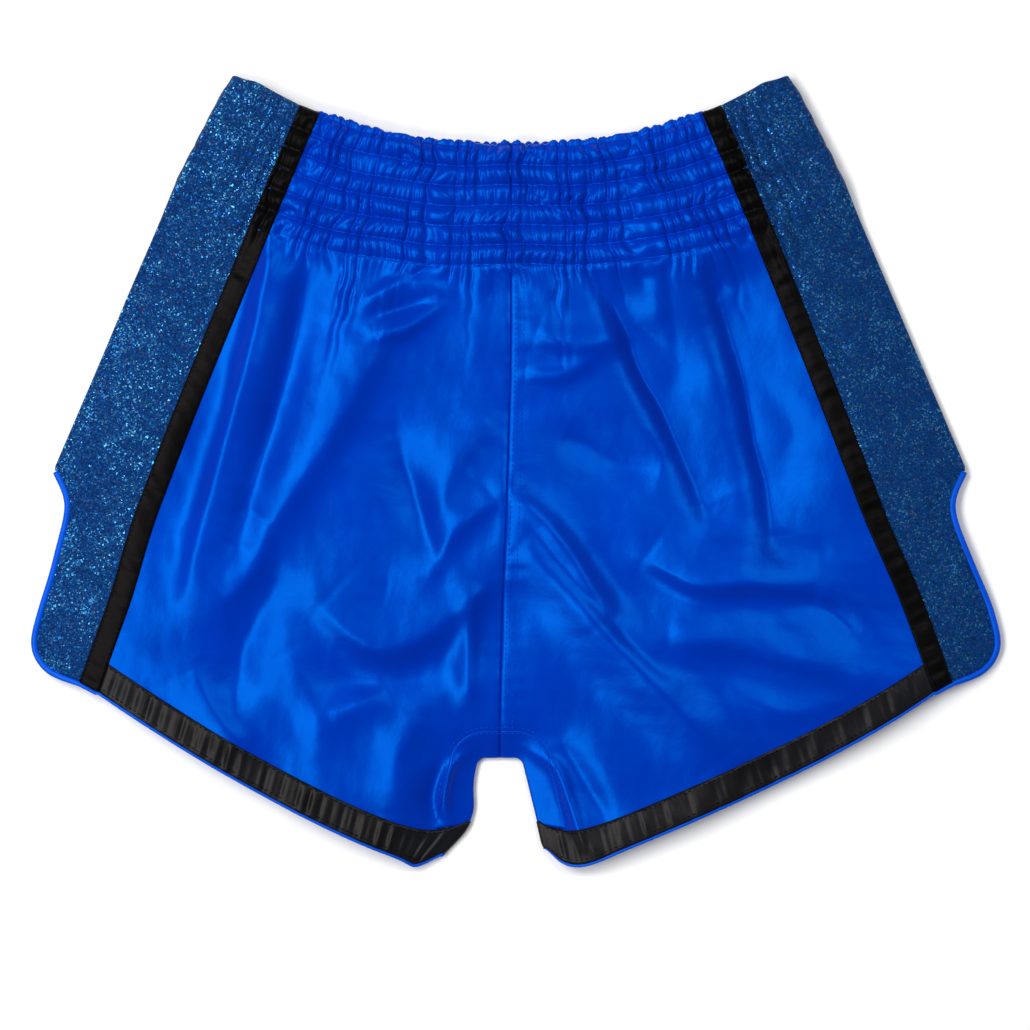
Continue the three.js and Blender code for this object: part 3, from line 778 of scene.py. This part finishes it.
def waist_scallop(flat, seed):
    """The waist edge dips between the pleats."""
    x, y = flat[..., 0], flat[..., 1]
    pull = 1.5 * (gathers(x, y - 4, seed) / 2.5 - 0.6) * bump(band_depth(x, y), 5)
    return flat + xy(0 * x, pull)


def leg_panel(side, height, outward, name, columns, band_rows, leg_rows, seed):
    rows = spaced((0, 0.2, band_rows), (0.2, 1, leg_rows))
    flat = waist_scallop(leg_panel_flat(columns, rows), seed)
    grid = turned_in(lift(flat, height, side), outward)
    return shell(f"{name}_{SIDE_NAME[side]}", grid, CLOTH, SATIN, side)


def side_panel(side):
    """Round the side fold from the front ribbon to the back ribbon, open at the vent."""
    columns, bend_steps, fold_rows, vent_rows = 46, 8, 90, 50
    inset = BINDING * 0.5
    fold_y = np.linspace(WAIST_CORNER[1], VENT_TOP, fold_rows, endpoint=False)
    fold_line = xy(side_x(fold_y) - side_fold_r(fold_y) + CLOTH, fold_y)
    vent_t = mix(1, VENT_CORNER_AT, np.linspace(0, 1, vent_rows + 1))
    outer = np.vstack([fold_line, vent_line(vent_t, inset)])
    v = np.linspace(0, 1, len(outer))
    foot = up_ribbon(inset)
    flat = coons(
        lambda u: waist_edge(mix(RIBBON_TOP - TUCK, outer[0, 0], u)),
        lambda u: np.where((u == 0)[:, None], ribbon_edge(foot, TUCK), vent_line(u * VENT_CORNER_AT, inset)),
        lambda t: ribbon_edge(t * foot, TUCK),
        lambda t: outer[np.round(t * (len(outer) - 1)).astype(int)],
        np.linspace(0, 1, columns + 1), v,
    )
    flat = rounded_corner(flat)
    lean = math.atan2(VENT_HALF - BAND_FOOT_HALF, BAND_FOOT_Y - VENT_TOP)
    out = np.tile(np.array([math.cos(lean), math.sin(lean)]), (len(outer), 1))
    grid = turned_in(wrap(flat, out, side, bend_steps=bend_steps), 1)
    first = fold_rows + len(grid) - len(flat)
    return shell(f"side_panel_cloth_{SIDE_NAME[side]}", grid, CLOTH, GLITTER, side,
                 lambda i, j: (i >= first) & (j >= columns) & (j < columns + bend_steps))


def puckers(distance, seed):
    """Crosswise ripples of a tape that was stretched a little as it was sewn on."""
    return waves(distance, 0 * distance, 7.5, seed, 5) + 0.4 * waves(distance, 0 * distance, 3.2, seed + 1, 5)


def ribbon(side, height, above, name):
    foot = up_ribbon(BINDING * 0.5)
    rows = np.linspace(0, 1, 241)
    flat = coons(
        lambda u: waist_edge(mix(RIBBON_TOP - RIBBON_ACROSS, RIBBON_TOP, u)),
        lambda u: mix(ribbon_edge(foot, RIBBON_ACROSS), ribbon_edge(foot, 0), u[:, None]),
        lambda t: ribbon_edge(t * foot, RIBBON_ACROSS),
        lambda t: ribbon_edge(t * foot, 0),
        np.linspace(0, 1, 11), rows,
    )
    across = np.linspace(-1, 1, 11)[None]
    ripple = 0.4 * (1 - across**2) * (1 + puckers(rows * RIBBON_LENGTH, 31 + side)[:, None]) * (above > 0)
    grid = turned_in(lift(flat, height, side, above + ripple), above / abs(above), 1.0 + OVER)
    return shell(f"{name}_{SIDE_NAME[side]}", grid, CLOTH * 0.9, RIBBON_SATIN, side)


def hem_band(side):
    u = np.linspace(0, 1, 221)
    across = np.linspace(0, 1, 9)
    lines, outs = [], []
    for depth in mix(BINDING * 0.4, BINDING + HEM_BAND, across):
        lines.append(hem_line(u, depth))
        outs.append(inner_leg_out(up_leg(depth)))
    flat = np.array(lines)[::-1]
    ripple = HEM_PUCKER * np.sin(math.pi * across)[::-1, None]
    ripple = ripple * puckers(u * np.linalg.norm(HEM_SPAN), 41 + side)[None]
    ripple *= smooth(1.0, 0.93, u)

    def rippled(x, y):
        return front_height(x, y) + np.broadcast_to(ripple, x.shape)

    grid = wrap(flat, np.array(outs)[::-1], side, OVER, rippled)
    return shell(f"hem_tape_{SIDE_NAME[side]}", grid, CLOTH * 0.9, BAND_SATIN, side)


def binding(side):
    vent = vent_line(np.linspace(1, 0, 90), 0.4)
    corner = ribbon_edge(1, RIBBON_ACROSS)
    hem = hem_line(np.linspace(0, 1, 200), BINDING * 0.35)
    flat = np.vstack([vent, mix(vent[-1], corner, np.linspace(0.15, 0.85, 6)[:, None]), hem])
    out = inner_leg_out(up_leg(0.0))[None]
    flat = flat[None]
    path = wrap(flat, out, side, 0.25, bend_steps=12)[0]
    step = np.gradient(flat[0], axis=0)
    step /= np.linalg.norm(step, axis=-1, keepdims=True)
    level = np.concatenate([xy(-step[:, 1], step[:, 0]), np.zeros((len(step), 1))], -1)
    level = np.vstack([level, np.repeat(level[-1:], len(path) - 2 * len(level), 0), level[::-1]])
    half = len(vent)
    # Half widths: more shows along the vent than along the hem, where the hem tape covers it.
    wide = np.full(len(path), BINDING * 0.4)
    wide[:half] = BINDING * 0.72
    wide[-half:] = BINDING * 0.72
    name = f"bias_binding_{SIDE_NAME[side]}"
    return tube(name, path, level, blurred(wide, 30), BINDING_DEPTH, BINDING_SATIN, side)


def gusset(side):
    """A strip folded round the inner leg, from the centre seam along the crotch to the hem tape."""
    stops = np.r_[np.linspace(0, LEG_FLAT, 5)[:-1], np.linspace(LEG_FLAT, LEG_TURN, 15)[:-1],
                  np.linspace(LEG_TURN, up_leg(PANEL_DEPTH - TUCK), 26)]
    fold = inner_leg(stops, FOLD_R + CLOTH / 2)
    seam = inner_leg(stops, GUSSET)
    share = np.clip((stops - LEG_TURN) / (1 - LEG_TURN), 0, None)[:, None]
    seam = seam + share * (hem_line(GUSSET_SHARE, PANEL_DEPTH) - inner_leg(up_leg(PANEL_DEPTH), GUSSET))
    across = np.linspace(0, 1, 17)[None, :, None]
    flat = mix(seam[:, None], fold[:, None], across)
    out = np.array([inner_leg_out(stop) for stop in stops])
    return shell(f"crotch_gusset_{SIDE_NAME[side]}", wrap(flat, out, side, GUSSET_OVER), CLOTH, SATIN, side)


def smooth_front(x, y):
    """Just below the lowest point of the front's pleats."""
    low = 2 * side_fold_r(y)
    return low + (LOFT - low) * rise_share(x, y) - 1.1


def smooth_back(x, y):
    """Just above the highest point of the back's pleats."""
    return OVER + CLOTH + THREAD_RADIUS + 2.6 + 0 * x


def band_layer(name, side, depth, thickness, material, top, foot):
    drop = np.linspace(top, BAND - foot, 18)
    side_y = WAIST_CORNER[1] - drop * SIDE_GATHER
    end = xy(side_x(side_y) - side_fold_r(side_y), side_y)
    share = np.linspace(0.02 / WAIST_HALF, 1, 90)
    curve = WAIST_DIP * (share**2.2 - share)
    flat = mix(xy(0 * drop, RISE - drop)[:, None], end[:, None], share[None, :, None])
    flat = flat + xy(0 * curve, curve)[None]
    out = np.tile(np.array([1.0, 0.0]), (len(drop), 1))
    grid = wrap(flat, out, side, -depth, smooth_front, smooth_back)
    return shell(f"{name}_{SIDE_NAME[side]}", grid, thickness, material, side)


# ---------------------------------------------------------------- stitching
STITCH_PITCH = 2.9       # lockstitch, about 3.5 to the centimetre
STITCH_LENGTH = 2.1


def stitch_tree():
    """Stitches of sewing thread laid end to end along the lines of a mesh."""
    tree = bpy.data.node_groups.new("stitches", "GeometryNodeTree")
    face = tree.interface
    face.new_socket("Geometry", in_out="OUTPUT", socket_type="NodeSocketGeometry")
    face.new_socket("Geometry", in_out="INPUT", socket_type="NodeSocketGeometry")
    for name, kind in (("Pitch", "Float"), ("Length", "Float"), ("Radius", "Float"), ("Seed", "Int"),
                       ("Thread", "Material")):
        face.new_socket(name, in_out="INPUT", socket_type=f"NodeSocket{kind}")
    given = node(tree, "NodeGroupInput").outputs
    line = node(tree, "GeometryNodeMeshToCurve", None, {0: given["Geometry"]})
    spaced_out = node(tree, "GeometryNodeResampleCurve", {"mode": "LENGTH"},
                      {"Curve": line.outputs[0], "Length": given["Pitch"]})
    tangent = node(tree, "GeometryNodeInputTangent")
    turn = node(tree, "FunctionNodeAlignRotationToVector", {"axis": "Z"}, {"Vector": tangent.outputs[0]})
    ball = node(tree, "GeometryNodeMeshUVSphere", {"Segments": 6, "Rings": 4, "Radius": 1.0})
    half = node(tree, "ShaderNodeMath", {"operation": "MULTIPLY", 1: 0.5}, {0: given["Length"]})
    size = node(tree, "ShaderNodeCombineXYZ", None,
                {0: given["Radius"], 1: given["Radius"], 2: half.outputs[0]})
    vary = node(tree, "FunctionNodeRandomValue", {"data_type": "FLOAT", 2: 0.88, 3: 1.1},
                {"Seed": given["Seed"]})
    varied = node(tree, "ShaderNodeVectorMath", {"operation": "SCALE"},
                  {0: size.outputs[0], "Scale": vary.outputs[1]})
    laid = node(tree, "GeometryNodeInstanceOnPoints", None, {
        "Points": spaced_out.outputs[0], "Instance": ball.outputs[0], "Rotation": turn.outputs[0],
        "Scale": varied.outputs[0],
    })
    real = node(tree, "GeometryNodeRealizeInstances", None, {0: laid.outputs[0]})
    painted = node(tree, "GeometryNodeSetMaterial", None,
                   {"Geometry": real.outputs[0], "Material": given["Thread"]})
    node(tree, "NodeGroupOutput", None, {"Geometry": painted.outputs[0]})
    return tree


STITCHES = stitch_tree()


def sewn(name, lines, material, seed):
    """A mesh of stitches along lines of points in millimetres."""
    points = np.vstack(lines)
    starts = np.cumsum([0] + [len(line) for line in lines])
    edges = [(k, k + 1) for a, b in zip(starts, starts[1:]) for k in range(a, b - 1)]
    mesh = bpy.data.meshes.new(name + "_lines")
    mesh.from_pydata(to_frame(points).tolist(), edges, [])
    guide = bpy.data.objects.new(name + "_lines", mesh)
    bpy.context.scene.collection.objects.link(guide)
    modifier = guide.modifiers.new("stitches", "NODES")
    modifier.node_group = STITCHES
    values = {"Pitch": STITCH_PITCH * MM, "Length": STITCH_LENGTH * MM, "Radius": THREAD_RADIUS * MM,
              "Seed": seed, "Thread": material}
    for item in STITCHES.interface.items_tree:
        if item.in_out == "INPUT" and item.name in values:
            modifier[item.identifier] = values[item.name]
    scene_state = bpy.context.evaluated_depsgraph_get()
    made = bpy.data.meshes.new_from_object(guide.evaluated_get(scene_state))
    made.name = name
    bpy.data.objects.remove(guide)
    made.polygons.foreach_set("use_smooth", np.ones(len(made.polygons), bool))
    obj = bpy.data.objects.new(name, made)
    bpy.context.scene.collection.objects.link(obj)
    return obj


def on_front(flat, side, above):
    line = lift(flat, front_height, side, above)
    line[:, 0] *= side
    return line


def on_back(flat, side, below):
    line = lift(flat, back_height, side, -below)
    line[:, 0] *= side
    return line


def waist_row(depth, x):
    y = waist_edge(x)[:, 1] - depth
    for _ in range(8):
        q = fan(x, y)
        y = waist_edge(np.abs(q) * RIBBON_TOP)[:, 1] - depth + wander(q)
    return xy(x, y)


def on_ribbon(flat):
    q = fan(flat[:, 0], flat[:, 1])
    return (q > 1 - RIBBON_ACROSS / RIBBON_TOP * 0.95) & (q < 1.005)


def blue_lines(side):
    on = CLOTH / 2 + THREAD_RADIUS * 0.4
    lines = []
    for row in ROWS:
        end = side_x(RISE + WAIST_DIP - row) - 2 * BAND_FOLD_R
        x = np.arange(1.0, end, 0.7)
        flat = waist_row(row, x)
        for cloth in (flat[~on_ribbon(flat) & (x < RIBBON_TOP)], flat[~on_ribbon(flat) & (x > RIBBON_TOP)]):
            lines.append(on_front(cloth, side, on))
            lines.append(on_back(cloth, side, on))
    y = np.arange(GUSSET + 2, RISE - 2, 0.8)
    if side == RIGHT:
        for x in (2.4, 7.0):
            lines.append(on_front(xy(0 * y + x, y), side, on))
            lines.append(on_back(xy(0 * y + x, y), side, on))
    stops = np.linspace(0.02, up_leg(PANEL_DEPTH), 120)
    for inset in (GUSSET + 1.8, GUSSET - 1.4):
        flat = inner_leg(stops, inset)
        lines.append(on_front(flat, side, on + (GUSSET_OVER if inset < GUSSET else 0)))
        lines.append(on_back(flat, side, on + (GUSSET_OVER if inset < GUSSET else 0)))
    return lines


def black_lines(side):
    on = CLOTH / 2 + OVER + THREAD_RADIUS * 0.3
    lines = []
    for across in (1.3, RIBBON_ACROSS - 1.3):
        t = np.linspace(0.004, up_ribbon(BINDING * 1.2), 500)
        lines.append(on_front(ribbon_edge(t, across), side, on))
        lines.append(on_back(ribbon_edge(t, across), side, on))
    for depth in (BINDING + 1.2, BINDING + HEM_BAND - 1.4):
        u = np.linspace(0.01, 0.98, 420)
        lines.append(on_front(hem_line(u, depth), side, on))
        lines.append(on_back(hem_line(u, depth), side, on))
    for row in ROWS:
        flat = waist_row(row, np.arange(90.0, 150.0, 0.7))
        flat = flat[on_ribbon(flat)]
        lines.append(on_front(flat, side, on))
        lines.append(on_back(flat, side, on))
    return lines


# ---------------------------------------------------------------- assembly
def place(piece, side, crosses):
    """Rides with its half, or, where it comes near the centre seam, has its placing baked into its mesh and
    is left without a parent.
    """
    if crosses:
        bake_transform(piece)
    else:
        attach(piece, f"{SIDE_NAME[side]}_half")


def add(piece, side, node_name, crosses):
    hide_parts(f"{node_name}_{SIDE_NAME[side]}")
    place(piece, side, crosses)
    return piece


for side in (RIGHT, LEFT):
    front = leg_panel(side, front_height, 1, "front_leg_panel", 148, 110, 165, 3)
    back = leg_panel(side, back_height, -1, "back_leg_panel", 110, 90, 110, 11)
    add(front, side, "front_panel", True)
    add(back, side, "back_panel", True)
    add(side_panel(side), side, "side_panel", False)
    add(ribbon(side, front_height, OVER, "front_ribbon_tape"), side, "front_ribbon", False)
    add(ribbon(side, back_height, -OVER, "back_ribbon_tape"), side, "back_ribbon", False)
    add(hem_band(side), side, "hem_band", True)
    add(binding(side), side, "hem_binding", True)
    add(gusset(side), side, "gusset", True)
    web = band_layer("waist_elastic_web", side, ELASTIC_DEPTH, ELASTIC_THICK, ELASTIC, 4, 2)
    facing = band_layer("waist_facing_cloth", side, FACING_DEPTH, FACING_THICK, SATIN, 3, 0)
    add(web, side, "waist_elastic", True)
    add(facing, side, "waist_facing", True)
    blue = sewn(f"blue_stitching_{SIDE_NAME[side]}", blue_lines(side), BLUE_THREAD, 5 + side)
    black = sewn(f"black_stitching_{SIDE_NAME[side]}", black_lines(side), BLACK_THREAD, 9 + side)
    place(blue, side, True)
    place(black, side, True)


# ---------------------------------------------------------------- floor, lights, camera
def floor():
    material = bpy.data.materials.new("matt_white_paper")
    material.use_nodes = True
    shader = material.node_tree.nodes["Principled BSDF"]
    shader.inputs["Base Color"].default_value = linear("#F4F4F4")
    shader.inputs["Roughness"].default_value = 0.95
    mesh = bpy.data.meshes.new("paper")
    mesh.from_pydata([(-4, -4, 0), (4, -4, 0), (4, 4, 0), (-4, 4, 0)], [], [(0, 1, 2, 3)])
    mesh.materials.append(material)
    paper = bpy.data.objects.new("paper", mesh)
    paper.location.z = -0.0004
    bpy.context.scene.collection.objects.link(paper)


def softbox(name, azimuth, elevation, distance, size, watts):
    light = bpy.data.lights.new(name, "AREA")
    light.shape = "RECTANGLE"
    light.size, light.size_y = size
    light.energy = watts
    lamp = bpy.data.objects.new(name, light)
    a, e = math.radians(azimuth), math.radians(elevation)
    way = Vector((math.cos(a) * math.cos(e), math.sin(a) * math.cos(e), math.sin(e)))
    lamp.location = way * distance
    lamp.rotation_euler = (-way).to_track_quat("-Z", "Y").to_euler()
    bpy.context.scene.collection.objects.link(lamp)


def camera():
    view_height, picture_width = 3.0, 0.5665
    lens = bpy.data.cameras.new("camera")
    lens.sensor_width = 36
    lens.lens = 36 * view_height / picture_width
    eye = bpy.data.objects.new("camera", lens)
    eye.location = (-0.0005, -0.0265, view_height)
    bpy.context.scene.collection.objects.link(eye)
    bpy.context.scene.camera = eye


floor()
softbox("upper_left_softbox", 148, 59, 1.9, (0.8, 0.8), 22)
softbox("left_softbox", 206, 57, 1.9, (0.75, 0.75), 17)
softbox("right_softbox", 42, 57, 1.9, (0.8, 0.8), 12)
camera()
world = bpy.data.worlds.new("room")
world.use_nodes = True
world.node_tree.nodes["Background"].inputs["Color"].default_value = linear("#F2F4FA")
world.node_tree.nodes["Background"].inputs["Strength"].default_value = 0.22
bpy.context.scene.world = world
bpy.context.scene.view_settings.view_transform = "Standard"
